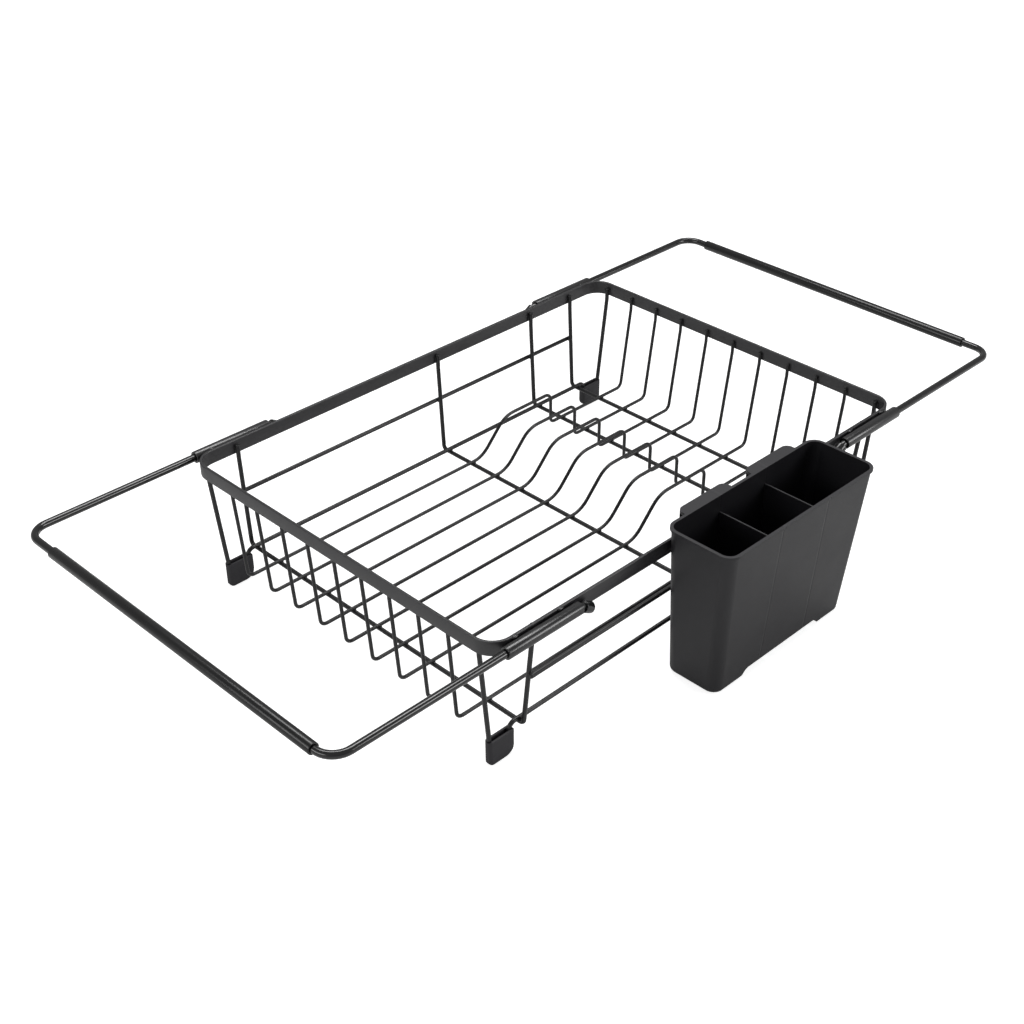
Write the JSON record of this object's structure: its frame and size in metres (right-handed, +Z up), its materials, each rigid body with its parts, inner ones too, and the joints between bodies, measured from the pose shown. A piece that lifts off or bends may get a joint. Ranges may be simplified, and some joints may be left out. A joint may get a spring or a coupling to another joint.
{
  "type": "dish drying rack",
  "caption": "Rectangular wire dish rack with upright plate dividers, two pull-out arms to span a sink, rubber feet and a cutlery holder hooked on the rim.",
  "frame": {"origin": "on the counter under the middle of the rack, arms pulled out and cutlery holder on", "axes": "+X along the basket, towards the end that the plate dividers drop down at, +Y from the cutlery holder to the back, +Z up"},
  "size_m": [0.624, 0.3398, 0.112],
  "materials": {
    "rim_coat": "satin powder coat",
    "wire_coat": "satin powder coat",
    "sleeve_coat": "satin powder coat",
    "arm_coat": "gloss coat",
    "grip_rubber": "smooth satin",
    "foot_rubber": "matte",
    "holder_plastic": "fine matte"
  },
  "bodies": {
    "rack": {"rim": "rim_coat", "leg_wire_back": "wire_coat", "leg_wire_front": "wire_coat", "divider_wire_1": "wire_coat", "divider_wire_2": "wire_coat", "divider_wire_3": "wire_coat", "divider_wire_4": "wire_coat", "divider_wire_5": "wire_coat", "divider_wire_6": "wire_coat", "divider_wire_7": "wire_coat", "plain_wire_1": "wire_coat", "plain_wire_2": "wire_coat", "cross_wire_1": "wire_coat", "cross_wire_2": "wire_coat", "cross_wire_3": "wire_coat", "cross_wire_4": "wire_coat", "side_rail_back": "wire_coat", "side_rail_front": "wire_coat", "sleeve_back_left": "sleeve_coat", "sleeve_front_left": "sleeve_coat", "sleeve_back_right": "sleeve_coat", "sleeve_front_right": "sleeve_coat", "foot_back_left": "foot_rubber", "foot_front_left": "foot_rubber", "foot_back_right": "foot_rubber", "foot_front_right": "foot_rubber"},
    "left_arm": {"arm_left": "arm_coat", "grip_left": "grip_rubber"},
    "right_arm": {"arm_right": "arm_coat", "grip_right": "grip_rubber"},
    "holder": {"cutlery_holder": "holder_plastic"}
  },
  "joints": [
    {"name": "left_arm_slide", "type": "slide", "parent": "rack", "child": "left_arm", "axis": [1, 0, 0], "range_m": [0, 0.064]},
    {"name": "right_arm_slide", "type": "slide", "parent": "rack", "child": "right_arm", "axis": [-1, 0, 0], "range_m": [0, 0.02]},
    {"name": "holder_lift", "type": "slide", "parent": "rack", "child": "holder", "axis": [0, 0, 1], "range_m": [0, 0.12]}
  ]
}
